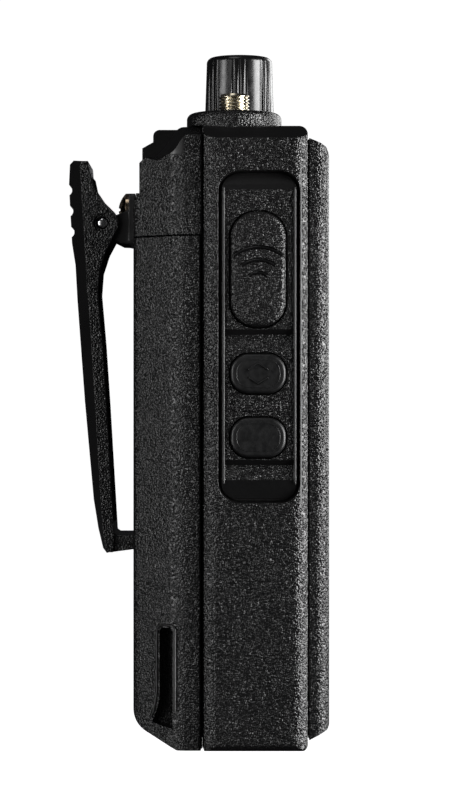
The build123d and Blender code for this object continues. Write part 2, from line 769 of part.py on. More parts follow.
# ---- side keys --------------------------------------------------------------------------------------
panel_face = -29.6
groove_x = -28.75
with BuildPart() as side_key_panel:
    with BuildSketch(Plane.XZ.offset(-recess_centre[0])):
        outline(
            [
                (-28.2, 118.7),
                (-28.65, 118.5),
                (-29.4, 116.4),
                (panel_face, 115.4),
                (panel_face, 55.8),
                (-28.65, 51.9),
                (-28.2, 51.7),
            ]
        )
    extrude(amount=7.75, both=True)
    with BuildSketch(Plane.YZ.offset(-31)):
        with Locations(recess_centre):
            RectangleRounded(15.3, 67.0, 3.4)
    extrude(amount=3.4, mode=Mode.INTERSECT)
    outer_x = panel_face - 0.3
    for high in (86.8, 60.0):
        with BuildSketch(Plane.XZ.offset(-recess_centre[0])):
            outline([(outer_x, high + 0.3), (groove_x, high - 1.2), (outer_x, high - 5.2)])
        extrude(amount=7.1, both=True, mode=Mode.SUBTRACT)
    with BuildSketch(Plane.YZ.offset(-28.2)):
        with Locations(recess_centre):
            RectangleRounded(15.9, 67.3, 3.7)
    extrude(amount=-0.35)
    with BuildSketch(Plane.YZ.offset(-28.2)):
        with Locations(recess_centre):
            RectangleRounded(13.3, 61.7, 1.8)
    extrude(amount=0.25)
    with BuildSketch(Plane.YZ.offset(-31)):
        for width, height, centre in (talk_key, upper_key, lower_key):
            with Locations((keys_y, centre)):
                radius = min(width, height) / 2 * 0.92
                RectangleRounded(width + 2 * key_gap, height + 2 * key_gap, radius + key_gap)
    extrude(amount=4, mode=Mode.SUBTRACT)
    with BuildSketch(Plane.YZ.offset(-29.2)):
        with Locations((keys_y, 71.0)):
            Rectangle(9.2, 2.1)
    extrude(amount=-0.75)


def side_key(size, face, crown):
    """A key with a rounded face and a flange that the panel retains."""
    width, height, centre = size
    radius = min(width, height) / 2 * 0.92
    with BuildPart() as key:
        with BuildSketch(Plane.YZ.offset(key_back)):
            with Locations((keys_y, centre)):
                RectangleRounded(width + 1.6, height + 1.6, radius + 0.8)
        extrude(amount=-0.5)
        with BuildSketch(Plane.YZ.offset(key_back)):
            with Locations((keys_y, centre)):
                RectangleRounded(width, height, radius)
        extrude(amount=face - key_back)
        fillet(key.edges().filter_by_position(Axis.X, face - 0.01, face + 0.01), crown)
    return key


talk_button = side_key(talk_key, -30.55, 1.1)
power_button = side_key(upper_key, -30.35, 0.7)
monitor_button = side_key(lower_key, -30.35, 0.7)

with BuildPart() as side_key_board:
    with BuildSketch(Plane.YZ.offset(-25.4)):
        with Locations((keys_y, 85.15)):
            Rectangle(11, 60)
    extrude(amount=0.4)

with BuildPart() as side_switches:
    with BuildSketch(Plane.YZ.offset(-26.3)):
        with Locations(*[(keys_y, key[2]) for key in (talk_key, upper_key, lower_key)]):
            Circle(2.2)
    extrude(amount=0.9)

# ---- accessory jacks and their flap -------------------------------------------------------------------
with BuildPart() as jack_block:
    with BuildSketch(Plane.YZ.offset(15.5)):
        with Locations((jack_y + 0.2, 105.5)):
            Rectangle(9.0, 18.2)
    extrude(amount=11.4)
    for height, radius in plug_heights.values():
        with BuildSketch(Plane.YZ.offset(26.5)):
            with Locations((jack_y, height)):
                Circle(radius + 1.1)
        extrude(amount=1.6)
    for height, radius in plug_heights.values():
        with BuildSketch(Plane.YZ.offset(28.1)):
            with Locations((jack_y, height)):
                Circle(radius)
        extrude(amount=-11.1, mode=Mode.SUBTRACT)
        with BuildSketch(Plane.YZ.offset(28.1)):
            with Locations((jack_y, height)):
                Circle(radius + 0.5)
        extrude(amount=-1.1, mode=Mode.SUBTRACT)

with BuildPart() as accessory_flap:
    with BuildSketch(Plane.XY.offset(flap_z[0])) as flap_section:
        outline([(28.4, flap_y[0]), (30.2, flap_y[0]), (30.2, flap_axis[1]), (28.4, flap_axis[1])])
        fillet(flap_section.vertices().group_by(Axis.Y)[0].sort_by(Axis.X)[-1], 0.8)
        with Locations(flap_axis):
            Circle(1.0)
    extrude(amount=flap_z[1] - flap_z[0])
    with BuildSketch(Plane.YZ.offset(27)) as flap_face:
        with Locations(((flap_y[0] + flap_axis[1] + 1.0) / 2, sum(flap_z) / 2)):
            Rectangle(flap_axis[1] + 1.0 - flap_y[0], flap_z[1] - flap_z[0])
        fillet(flap_face.vertices().group_by(Axis.X)[0], 1.4)
    extrude(amount=4, mode=Mode.INTERSECT)
    with BuildSketch(Plane.XY.offset(flap_z[0])):
        with Locations(flap_axis):
            Circle(0.45)
    extrude(amount=flap_z[1] - flap_z[0], mode=Mode.SUBTRACT)
    for height, radius in plug_heights.values():
        with BuildSketch(Plane.YZ.offset(28.4)):
            with Locations((jack_y, height)):
                Circle(radius - 0.6)
        extrude(amount=-1.1, taper=8)
    with BuildSketch(Plane.YZ.offset(30.2)):
        with Locations(*[(-9.6, 105.3 + 1.8 * n) for n in (-2, -1, 0, 1, 2)]):
            Rectangle(2.4, 0.7)
    extrude(amount=-0.4, mode=Mode.SUBTRACT)

with BuildPart() as flap_pin:
    with BuildSketch(Plane.XY.offset(flap_z[0] - 1.6)):
        with Locations(flap_axis):
            Circle(0.4)
    extrude(amount=flap_z[1] - flap_z[0] + 3.2)

# ---- inside the main housing ----------------------------------------------------------------------------
with BuildPart() as chassis_frame:
    with BuildSketch(Plane.XZ.offset(-cavity_back + 0.1)):
        with Locations((0, 56)):
            Rectangle(53.4, 104)
        with Locations(*screw_places):
            Circle(1.4, mode=Mode.SUBTRACT)
    extrude(amount=1.6)
    with BuildSketch(Plane.XZ.offset(-cavity_back + 1.6)):
        with Locations(*board_screw_places, (0, 57)):
            Circle(2.2)
    extrude(amount=1.7)
    with BuildSketch(Plane.XZ.offset(-cavity_back + 1.6)):
        with Locations((-25.9, 60), (25.9, 60)):
            Rectangle(1.4, 60)
    extrude(amount=1.5)

with BuildPart() as main_board:
    with BuildSketch(Plane.XZ):
        with Locations((0, 57)):
            Rectangle(39.4, 98)
        with Locations(*board_screw_places):
            Circle(1.1, mode=Mode.SUBTRACT)
    extrude(amount=-board_front)

with BuildPart() as board_screws:
    with BuildSketch(Plane.XZ.offset(-board_front)):
        with Locations(*board_screw_places):
            Circle(1.8)
    extrude(amount=1.1)
    with BuildSketch(Plane.XZ.offset(0.05)):
        with Locations(*board_screw_places):
            Circle(1.05)
    extrude(amount=1.2)

with BuildPart() as shield_cans:
    for x, z, width, height in ((-6, 30, 22, 20), (8, 68, 18, 26), (-11, 80, 13, 22)):
        with BuildSketch(Plane.XZ.offset(-board_front)):
            with Locations((x, z)):
                Rectangle(width, height)
                Rectangle(width - 0.6, height - 0.6, mode=Mode.SUBTRACT)
        extrude(amount=2.2)
        with BuildSketch(Plane.XZ.offset(-board_front + 2.2)):
            with Locations((x, z)):
                Rectangle(width, height)
        extrude(amount=0.3)

with BuildPart() as housing_screws:
    for x, z in screw_places:
        with BuildSketch(along_y(x, housing_back - 1.5, z)):
            Circle(2.0)
        extrude(amount=1.2)
        with BuildSketch(along_y(x, housing_back - 1.5, z)):
            Circle(1.0)
        extrude(amount=-19.5)
        with BuildSketch(along_y(x, housing_back - 0.3, z)):
            Rectangle(2.4, 0.5)
            Rectangle(0.5, 2.4)
        extrude(amount=-0.7, mode=Mode.SUBTRACT)

with BuildPart() as cap_screws:
    for x, z in cap_screw_places:
        with BuildSketch(along_y(x, cavity_back, z)):
            Circle(1.9)
        extrude(amount=-1.2)
        with BuildSketch(along_y(x, cavity_back, z)):
            Circle(0.95)
        extrude(amount=7.6)

with BuildPart() as speaker_frame:
    with BuildSketch(Plane.XZ.offset(11.4)):
        with Locations((0, speaker_z)):
            Circle(18)
            Circle(8.4, mode=Mode.SUBTRACT)
    extrude(amount=1.0)
    with BuildSketch(Plane.XZ.offset(12.4)):
        with Locations((0, speaker_z)):
            Circle(18)
            Circle(16.8, mode=Mode.SUBTRACT)
    extrude(amount=5.3)

with BuildPart() as speaker_magnet:
    with BuildSketch(Plane.XZ.offset(8.6)):
        with Locations((0, speaker_z)):
            Circle(8.2)
    extrude(amount=4.0)

with BuildPart() as speaker_cone:
    with BuildSketch(Plane.XY.offset(speaker_z)):
        outline([(0, -13.4), (4.6, -13.4), (16.5, -17.2), (16.5, -16.7), (4.6, -12.9), (0, -12.9)])
    revolve(axis=Axis((0, 0, speaker_z), (0, 1, 0)))

with BuildPart() as speaker_felt:
    with BuildSketch(Plane.XZ.offset(17.75)):
        with Locations((0, speaker_z)):
            Circle(19.8)
    extrude(amount=0.4)

with BuildPart() as microphone:
    with BuildSketch(Plane.XZ.offset(15.4)):
        with Locations(microphone_at):
            Circle(3.0)
    extrude(amount=2.3)

with BuildPart() as microphone_boot:
    with BuildSketch(Plane.XZ.offset(14.8)):
        with Locations(microphone_at):
            Circle(4.0)
            Circle(3.02, mode=Mode.SUBTRACT)
    extrude(amount=3.2)

with BuildPart() as terminal_block:
    with BuildSketch(Plane.XY.offset(cap_bottom)):
        with Locations((0, 10.9)):
            Rectangle(18.0, 5.0)
        with Locations(*plunger_places):
            Circle(0.95, mode=Mode.SUBTRACT)
    extrude(amount=5.4)

with BuildPart() as terminal_plungers:
    with BuildSketch(Plane.XY.offset(pack_top + 0.02)):
        with Locations(*plunger_places):
            Circle(0.9)
    extrude(amount=5.9)


pieces = {
    "main_housing": main_housing,
    "front_cover": front_cover,
    "housing_seal": housing_seal,
    "rear_cap": rear_cap,
    "battery_case": battery_case,
    "battery_lid": battery_lid,
    "battery_cells": battery_cells,
    "battery_board": battery_board,
    "battery_pads": battery_pads,
    "charging_contacts": charging_contacts,
    "battery_latch": battery_latch,
    "latch_spring": latch_spring,
    "clip_bracket": clip_bracket,
    "clip_screws": clip_screws,
    "clip_pin": clip_pin,
    "clip_lever": clip_lever,
    "clip_spring": clip_spring,
    "antenna_connector": antenna_connector,
    "antenna_insulator": antenna_insulator,
    "antenna_contact": antenna_contact,
    "antenna_nut": antenna_nut,
    "channel_switch": channel_switch,
    "volume_control": volume_control,
    "channel_shaft": channel_shaft,
    "volume_shaft": volume_shaft,
    "channel_knob": channel_knob,
    "volume_knob": volume_knob,
    "knob_nuts": knob_nuts,
    "knob_seals": knob_seals,
    "control_board": control_board,
    "status_light": status_light,
    "side_key_panel": side_key_panel,
    "talk_button": talk_button,
    "power_button": power_button,
    "monitor_button": monitor_button,
    "side_key_board": side_key_board,
    "side_switches": side_switches,
    "jack_block": jack_block,
    "accessory_flap": accessory_flap,
    "flap_pin": flap_pin,
    "chassis_frame": chassis_frame,
    "main_board": main_board,
    "board_screws": board_screws,
    "shield_cans": shield_cans,
    "housing_screws": housing_screws,
    "cap_screws": cap_screws,
    "speaker_frame": speaker_frame,
    "speaker_magnet": speaker_magnet,
    "speaker_cone": speaker_cone,
    "speaker_felt": speaker_felt,
    "microphone": microphone,
    "microphone_boot": microphone_boot,
    "terminal_block": terminal_block,
    "terminal_plungers": terminal_plungers,
}
for name, builder in pieces.items():
    save(builder, name)
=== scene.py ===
"""Looks of the handheld two-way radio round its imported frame: materials, fine pieces, light, camera."""

import json
import math

import bmesh
import bpy
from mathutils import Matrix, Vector


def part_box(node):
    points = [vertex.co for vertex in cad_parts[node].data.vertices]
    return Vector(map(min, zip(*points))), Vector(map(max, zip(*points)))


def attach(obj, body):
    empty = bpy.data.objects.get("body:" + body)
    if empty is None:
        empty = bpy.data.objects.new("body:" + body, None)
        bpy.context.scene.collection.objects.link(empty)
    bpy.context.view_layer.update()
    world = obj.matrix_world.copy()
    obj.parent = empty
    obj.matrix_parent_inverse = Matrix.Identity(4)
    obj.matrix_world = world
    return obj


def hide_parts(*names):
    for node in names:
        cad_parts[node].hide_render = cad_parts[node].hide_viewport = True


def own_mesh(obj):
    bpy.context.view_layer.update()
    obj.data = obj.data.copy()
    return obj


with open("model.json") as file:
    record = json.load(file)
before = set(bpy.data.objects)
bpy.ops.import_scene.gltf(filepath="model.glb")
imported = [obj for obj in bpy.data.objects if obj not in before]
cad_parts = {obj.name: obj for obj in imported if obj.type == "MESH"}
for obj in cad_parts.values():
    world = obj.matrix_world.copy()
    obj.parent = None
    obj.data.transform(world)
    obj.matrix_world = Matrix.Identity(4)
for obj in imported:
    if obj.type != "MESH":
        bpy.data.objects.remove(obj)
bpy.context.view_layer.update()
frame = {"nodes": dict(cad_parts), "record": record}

MM = 0.001
GRAIN_SIZE = 0.38 * MM  # one cell of the moulded grain
EDGE_ROUND = 0.25 * MM  # how far the moulded edges are softened


# ---- node helpers ---------------------------------------------------------------------------


class Graph:
    """A material and short calls that add nodes to it."""

    def __init__(self, name):
        self.material = bpy.data.materials.new(name)
        self.material.use_nodes = True
        self.nodes = self.material.node_tree.nodes
        self.links = self.material.node_tree.links
        self.shader = self.nodes["Principled BSDF"]
        self.place = self.nodes.new("ShaderNodeTexCoord").outputs["Object"]

    def put(self, socket, value):
        if isinstance(value, bpy.types.NodeSocket):
            self.links.new(value, socket)
        else:
            socket.default_value = value

    def noise(self, scale, detail=2.0, vector=None):
        node = self.nodes.new("ShaderNodeTexNoise")
        node.inputs["Scale"].default_value = scale
        node.inputs["Detail"].default_value = detail
        self.links.new(vector or self.place, node.inputs["Vector"])
        return node.outputs["Fac"]

    def cells(self, scale, vector=None, smooth=0.35):
        node = self.nodes.new("ShaderNodeTexVoronoi")
        node.feature = "SMOOTH_F1"
        node.inputs["Scale"].default_value = scale
        node.inputs["Smoothness"].default_value = smooth
        self.links.new(vector or self.place, node.inputs["Vector"])
        return node.outputs["Distance"]

    def warp(self, scale, amount):
        """The object's coordinates, pushed about by a noise."""
        node = self.nodes.new("ShaderNodeTexNoise")
        node.inputs["Scale"].default_value = scale
        self.links.new(self.place, node.inputs["Vector"])
        centring = (-amount / 2,) * 3
        shift = self.vector_math("MULTIPLY_ADD", node.outputs["Color"], (amount,) * 3, centring)
        return self.vector_math("ADD", self.place, shift)

    def vector_math(self, operation, *values):
        node = self.nodes.new("ShaderNodeVectorMath")
        node.operation = operation
        for socket, value in zip(node.inputs, values):
            self.put(socket, value)
        return node.outputs[0]

    def math(self, operation, *values):
        node = self.nodes.new("ShaderNodeMath")
        node.operation = operation
        for socket, value in zip(node.inputs, values):
            self.put(socket, value)
        return node.outputs[0]

    def spread(self, value, low, high, start=0.3, end=0.7):
        """Maps a value from start..end to low..high."""
        node = self.nodes.new("ShaderNodeMapRange")
        for name, number in (("From Min", start), ("From Max", end), ("To Min", low), ("To Max", high)):
            node.inputs[name].default_value = number
        self.links.new(value, node.inputs["Value"])
        return node.outputs["Result"]

    def colours(self, value, *stops):
        """A colour ramp from (position, (r, g, b)) stops."""
        node = self.nodes.new("ShaderNodeValToRGB")
        ramp = node.color_ramp
        while len(ramp.elements) < len(stops):
            ramp.elements.new(0.5)
        for element, (position, colour) in zip(ramp.elements, stops):
            element.position = position
            element.color = (*colour, 1)
        self.links.new(value, node.inputs["Fac"])
        return node.outputs["Color"]

    def rounded(self, radius=EDGE_ROUND):
        node = self.nodes.new("ShaderNodeBevel")
        node.samples = 6
        node.inputs["Radius"].default_value = radius
        return node.outputs["Normal"]

    def bump(self, height, distance, strength=1.0, normal=None):
        node = self.nodes.new("ShaderNodeBump")
        node.inputs["Distance"].default_value = distance
        self.put(node.inputs["Strength"], strength)
        self.links.new(height, node.inputs["Height"])
        if normal is not None:
            self.links.new(normal, node.inputs["Normal"])
        return node.outputs["Normal"]

    def axis(self, letter):
        node = self.nodes.new("ShaderNodeSeparateXYZ")
        self.links.new(self.place, node.inputs[0])
        return node.outputs[letter]

    def facing(self, letter):
        """How squarely the surface faces along one of the object's axes, 0 to 1."""
        coordinates = self.nodes.new("ShaderNodeTexCoord")
        split = self.nodes.new("ShaderNodeSeparateXYZ")
        self.links.new(coordinates.outputs["Normal"], split.inputs[0])
        return self.math("ABSOLUTE", split.outputs[letter])

    def finish(self, colour, roughness, normal, **constants):
        self.put(self.shader.inputs["Base Color"], colour)
        self.put(self.shader.inputs["Roughness"], roughness)
        if normal is not None:
            self.links.new(normal, self.shader.inputs["Normal"])
        for name, value in constants.items():
            self.shader.inputs[name.replace("_", " ")].default_value = value
        return self.material


# ---- materials ------------------------------------------------------------------------------


def grain(graph, size):
    """The height of a moulded leather grain: rounded, uneven pebbles with finer noise on them."""
    warped = graph.warp(0.45 / size, 0.9 * size)
    pebbles = graph.spread(graph.cells(1 / size, warped, 0.2), 1.0, 0.0, 0.0, 0.75)
    fine = graph.noise(2.6 / size, 2.0)
    return graph.math("MULTIPLY_ADD", fine, 0.2, pebbles)


def grained_plastic(name, shade=0.003, size=GRAIN_SIZE, depth=0.13 * MM, smooth=None, polish=0.1):
    """Black moulded plastic with grain; smooth, if given, is 1 where the mould was left polished."""
    graph = Graph(name)
    height = grain(graph, size)
    roughness = graph.spread(graph.noise(1.3 / size, 2.0), 0.18, 0.29)
    if smooth:
        polished = smooth(graph)
        height = graph.math("MULTIPLY", height, graph.spread(polished, 1, 0, 0, 1))
        roughness = graph.math("MULTIPLY_ADD", polished, polish, roughness)
    worn = graph.noise(90, 3.0)
    colour = graph.colours(
        worn,
        (0.3, (shade, shade, shade * 1.03)),
        (0.7, (shade * 1.6, shade * 1.54, shade * 1.57)),
    )
    normal = graph.bump(height, depth, 1.0, graph.rounded())
    return graph.finish(colour, roughness, normal, Specular_IOR_Level=0.5)


def satin_plastic(name, shade=0.004, low=0.3, high=0.45, fine=0.012 * MM):
    """Smooth moulded plastic with faint unevenness."""
    graph = Graph(name)
    colour = graph.colours(
        graph.noise(140, 3.0),
        (0.3, (shade, shade, shade * 1.05)),
        (0.7, (shade * 1.6, shade * 1.55, shade * 1.6)),
    )
    roughness = graph.spread(graph.noise(700, 3.0), low, high)
    normal = graph.bump(graph.noise(2600, 3.0), fine, 1.0, graph.rounded())
    return graph.finish(colour, roughness, normal)


def key_rubber(name, shade=0.004):
    """Soft silicone: matt, a little lighter than the plastic, with fine dust-like speckle."""
    graph = Graph(name)
    speckle = graph.noise(3200, 2.0)
    colour = graph.colours(
        speckle,
        (0.35, (shade * 0.85, shade * 0.87, shade * 0.92)),
        (0.62, (shade, shade * 1.02, shade * 1.08)),
        (0.8, (shade * 2.2, shade * 2.2, shade * 2.3)),
    )
    roughness = graph.spread(graph.noise(900, 2.0), 0.34, 0.48)
    normal = graph.bump(speckle, 0.02 * MM, 0.7, graph.rounded())
    return graph.finish(colour, roughness, normal)


def plated_metal(name, colour_low, colour_high, low=0.12, high=0.3, scratches=0.004 * MM):
    """Plated or drawn metal with faint scratches and tarnish."""
    graph = Graph(name)
    colour = graph.colours(graph.noise(500, 4.0), (0.32, colour_low), (0.68, colour_high))
    roughness = graph.spread(graph.noise(1500, 4.0), low, high)
    normal = graph.bump(graph.noise(5000, 2.0), scratches, 1.0, graph.rounded(0.08 * MM))
    return graph.finish(colour, roughness, normal, Metallic=1.0)


def circuit_board(name):
    """Green solder mask with faint traces."""
    graph = Graph(name)
    traces = graph.spread(graph.cells(500, None, 0.0), 0, 1, 0.45, 0.5)
    colour = graph.colours(traces, (0.0, (0.01, 0.09, 0.035)), (1.0, (0.02, 0.16, 0.06)))
    return graph.finish(colour, 0.35, graph.bump(traces, 0.03 * MM), Coat_Weight=0.4)


def woven(name, shade, scale=2400):
    """Fine cloth: two crossing sets of threads, with painted shade in the low places between them."""
    graph = Graph(name)
    threads = []
    for letter in "XZ":
        wave = graph.math("SINE", graph.math("MULTIPLY", graph.axis(letter), scale * math.pi))
        threads.append(graph.math("ABSOLUTE", wave))
    height = graph.math("MAXIMUM", *threads)
    # Painted shade: the colour is darkest where the weave is lowest, in the gaps between the threads.
    painted_gap_shade = tuple(part * 0.4 for part in shade)
    colour = graph.colours(height, (0.2, painted_gap_shade), (0.9, shade))
    return graph.finish(colour, 0.9, graph.bump(height, 0.08 * MM), Sheen_Weight=0.3)


def milky_lens(name):
    """Translucent light pipe."""
    graph = Graph(name)
    colour = graph.colours(graph.noise(300), (0.3, (0.62, 0.62, 0.6)), (0.7, (0.72, 0.72, 0.7)))
    return graph.finish(colour, 0.25, graph.rounded(), Subsurface_Weight=0.4, Coat_Weight=0.5)


def studio_paper(name):
    """The pale paper of the studio, which glows softly like a light table."""
    graph = Graph(name)
    colour = graph.colours(graph.noise(12, 3.0), (0.3, (0.86, 0.86, 0.86)), (0.7, (0.9, 0.9, 0.9)))
    graph.shader.inputs["Emission Color"].default_value = (1, 1, 1, 1)
    graph.shader.inputs["Emission Strength"].default_value = 1.0
    return graph.finish(colour, 0.9, None)


def within(graph, **ranges):
    """1 inside a box given by ranges of the object's coordinates in millimetres, 0 outside."""
    inside = None
    for letter, (low, high) in ranges.items():
        place = graph.axis(letter)
        above = graph.math("GREATER_THAN", place, low * MM)
        below = graph.math("LESS_THAN", place, high * MM)
        both = graph.math("MULTIPLY", above, below)
        inside = graph.math("MULTIPLY", inside, both) if inside else both
    return inside


def housing_smooth(graph):
    """The moat and ramps round the side keys, the flap's recess, and the sloping shoulders."""
    moat = within(graph, X=(-29.75, -20), Y=(-14.5, 2.9), Z=(50.8, 119.6))
    flap_seat = within(graph, X=(20, 29.75), Y=(-12.5, 3), Z=(92, 118))
    high = within(graph, Z=(125.6, 129.1))
    slope = graph.math("MULTIPLY", high, graph.spread(graph.facing("Z"), 0, 1, 0.6, 0.75))
    return graph.math("MAXIMUM", graph.math("MAXIMUM", moat, flap_seat), slope)


def cap_smooth(graph):
    """The scoop that sweeps down behind the top deck."""
    return within(graph, Y=(9.7, 19.5), Z=(122.9, 130))


def island_smooth(graph):
    """The ramps at both ends, and every steep wall."""
    walls = graph.spread(graph.facing("X"), 1, 0, 0.86, 0.93)
    top_ramp = within(graph, Z=(115.4, 125))
    low_ramp = within(graph, Z=(45, 55.8))
    return graph.math("MAXIMUM", walls, graph.math("MAXIMUM", top_ramp, low_ramp))


def lever_smooth(graph):
    """Everything on the lever that doesn't face sideways."""
    return graph.spread(graph.facing("X"), 1, 0, 0.84, 0.9)


STEEL = ((0.5, 0.5, 0.5), (0.66, 0.66, 0.67))
GOLD = ((0.72, 0.52, 0.24), (0.88, 0.7, 0.4))
NICKEL = ((0.66, 0.6, 0.46), (0.86, 0.8, 0.66))
BRONZED = ((0.34, 0.26, 0.18), (0.62, 0.5, 0.38))
ALUMINIUM = ((0.45, 0.46, 0.47), (0.6, 0.6, 0.6))

finishes = {
    "case_plastic": grained_plastic("grained_black_plastic"),
    "satin_plastic": satin_plastic("satin_black_plastic"),
    "knob_plastic": satin_plastic("knob_black_plastic", 0.003, 0.2, 0.28, 0.006 * MM),
    "key_rubber": key_rubber("key_rubber"),
    "flap_rubber": key_rubber("flap_rubber", 0.008),
    "seal_rubber": key_rubber("seal_rubber", 0.006),
    "bracket_metal": satin_plastic("painted_bracket_black", 0.008, 0.35, 0.5),
    "screw_steel": plated_metal("bronzed_screw_steel", *BRONZED),
    "spring_steel": plated_metal("drawn_spring_steel", *STEEL),
    "gold_brass": plated_metal("gold_plating", *GOLD),
    "nickel_brass": plated_metal("pale_gold_plating", *NICKEL),
    "ptfe": milky_lens("white_insulator"),
    "board": circuit_board("solder_mask"),
    "tin_plate": plated_metal("tin_plate", (0.5, 0.5, 0.48), (0.68, 0.68, 0.66), 0.25, 0.45),
    "cast_frame": plated_metal("cast_aluminium", *ALUMINIUM, 0.4, 0.6, 0.03 * MM),
    "speaker_paper": woven("speaker_paper", (0.05, 0.048, 0.045), 1400),
    "felt": woven("speaker_felt", (0.035, 0.035, 0.037), 1900),
    "magnet": plated_metal("plated_magnet", (0.3, 0.3, 0.31), (0.42, 0.42, 0.43)),
    "cell_wrap": satin_plastic("cell_wrap", 0.09),
    "light_lens": milky_lens("light_lens"),
}
own_finishes = {
    "main_housing": grained_plastic("housing_black_plastic", smooth=housing_smooth),
    "rear_cap": grained_plastic("cap_black_plastic", smooth=cap_smooth),
    "side_key_panel": grained_plastic("key_panel_black_plastic", smooth=island_smooth),
    "clip_lever": grained_plastic("lever_black_plastic", smooth=lever_smooth, polish=0.05),
    "talk_button": grained_plastic("talk_key_grained_rubber", 0.004),
}

slots = {row["node"]: row["material_slot"] for row in frame["record"]["subparts"]}
for name, node in frame["nodes"].items():
    node.data.materials.clear()
    node.data.materials.append(own_finishes.get(name, finishes[slots[name]]))


# ---- mesh helpers -----------------------------------------------------------------------------


def piece(name, mesh, body, slot, material=None, smooth=True):
    """Puts a new piece on a body, with the finish of one of the record's slots."""
    made = bpy.data.objects.new(name, mesh)
    bpy.context.scene.collection.objects.link(made)
    mesh.materials.append(material or finishes[slot])
    for face in mesh.polygons:
        face.use_smooth = smooth
    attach(made, body)
    return made


def smooth_case_piece(name, mesh, body):
    """A piece of the case's plastic that the mould left smooth."""
    return piece(name, mesh, body, "case_plastic", finishes["satin_plastic"])


def ring_mesh(name, rings):
    """A closed tube of quads through rings of points; the last ring joins the first."""
    mesh = bpy.data.meshes.new(name)
    count = len(rings[0])
    points = [point for ring in rings for point in ring]
    faces = []
    for row in range(len(rings)):
        below, above = row * count, (row + 1) % len(rings) * count
        for step in range(count):
            after = (step + 1) % count
            faces.append((below + step, below + after, above + after, above + step))
    mesh.from_pydata(points, [], faces)
    mesh.update()
    return mesh


def stroke(name, paths, radius, rounds=4):
    """Round strokes along one or more open paths, as one mesh."""
    curve = bpy.data.curves.new(name, "CURVE")
    curve.dimensions = "3D"
    curve.bevel_depth = radius
    curve.bevel_resolution = rounds
    curve.use_fill_caps = True
    for path in paths:
        spline = curve.splines.new("POLY")
        spline.points.add(len(path) - 1)
        for point, place in zip(spline.points, path):
            point.co = (*place, 1)
    holder = bpy.data.objects.new(name, curve)
    mesh = bpy.data.meshes.new_from_object(holder)
    bpy.data.objects.remove(holder)
    mesh.name = name
    return mesh


# ---- antenna connector --------------------------------------------------------------------------


def threaded_connector():
    """The coaxial connector with its real 1/4-36 thread, in one closed turned solid."""
    low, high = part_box("antenna_connector")
    mount = next(m for m in frame["record"]["mounts"] if m["name"] == "antenna_thread")
    centre = Vector(mount["pos_m"])
    outer = mount["dims"]["r_mm"] * MM
    pitch = 25.4 / 36 * MM
    depth = 0.42 * MM
    bore = 2.15 * MM
    thread_start = mount["pos_m"][2] - mount["dims"]["length_mm"] / 2 * MM
    chamfer_height = 0.3 * MM
    neck = outer - depth
    around = 96
    per_turn = 14

    def crest(height, angle):
        phase = (height / pitch - angle / math.tau) % 1
        wave = abs(phase * 2 - 1)
        return neck + depth * min(1, max(0, 1.35 * wave - 0.1))

    def circle(radius_at, height):
        ring = []
        for step in range(around):
            angle = math.tau * step / around
            radius = radius_at(angle)
            x = centre.x + radius * math.cos(angle)
            y = centre.y + radius * math.sin(angle)
            ring.append((x, y, height))
        return ring

    rings = [circle(lambda a: bore, low.z)]
    rings += [circle(lambda a: neck, height) for height in (low.z, thread_start)]
    steps = round((high.z - chamfer_height - thread_start) / pitch * per_turn)
    for step in range(1, steps + 1):
        height = thread_start + (high.z - chamfer_height - thread_start) * step / steps
        rings.append(circle(lambda a, h=height: crest(h, a), height))
    rings.append(circle(lambda a: neck + 0.05 * MM, high.z - 0.05 * MM))
    rings.append(circle(lambda a: neck - 0.05 * MM, high.z))
    rings.append(circle(lambda a: bore + 0.15 * MM, high.z))
    rings.append(circle(lambda a: bore, high.z - 0.15 * MM))
    made = piece("threaded_connector", ring_mesh("threaded_connector", rings), "radio", "nickel_brass")
    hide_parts("antenna_connector")


threaded_connector()


# ---- marks on the keys ----------------------------------------------------------------------------


def arc(centre, radius, start, end, steps=14):
    """Points on an arc in the key's face plane, angles in degrees from straight up."""
    points = []
    for step in range(steps + 1):
        angle = math.radians(start + (end - start) * step / steps)
        points.append(centre + Vector((0, -radius * math.sin(angle), radius * math.cos(angle))))
    return points


def cut_out(name, node, cutter_mesh):
    """A copy of a CAD node's mesh with another mesh cut out of it."""
    blank_mesh = bpy.data.meshes.new(name)
    points = [node.matrix_world @ vertex.co for vertex in node.data.vertices]
    blank_mesh.from_pydata(points, [], [tuple(face.vertices) for face in node.data.polygons])
    work = bmesh.new()
    work.from_mesh(blank_mesh)
    bmesh.ops.remove_doubles(work, verts=work.verts, dist=0.001 * MM)
    work.to_mesh(blank_mesh)
    work.free()
    blank = bpy.data.objects.new(name, blank_mesh)
    cutter = bpy.data.objects.new("cutter", cutter_mesh)
    for item in (blank, cutter):
        bpy.context.scene.collection.objects.link(item)
    cut = blank.modifiers.new("cut", "BOOLEAN")
    cut.operation = "DIFFERENCE"
    cut.solver = "EXACT"
    cut.object = cutter
    bpy.context.view_layer.update()
    result = bpy.data.meshes.new_from_object(blank.evaluated_get(bpy.context.evaluated_depsgraph_get()))
    for item in (blank, cutter):
        bpy.data.objects.remove(item)
    result.name = name
    result.materials.clear()
    return result


def on_face(node, point, depth):
    """The place on a CAD node's -X face with a point's Y and Z, moved inwards by a depth."""
    inverse = node.matrix_world.inverted()
    start = inverse @ Vector((-100 * MM, point.y, point.z))
    place = node.ray_cast(start, inverse.to_3x3() @ Vector((1, 0, 0)))[1]
    return node.matrix_world @ place + Vector((depth, 0, 0))


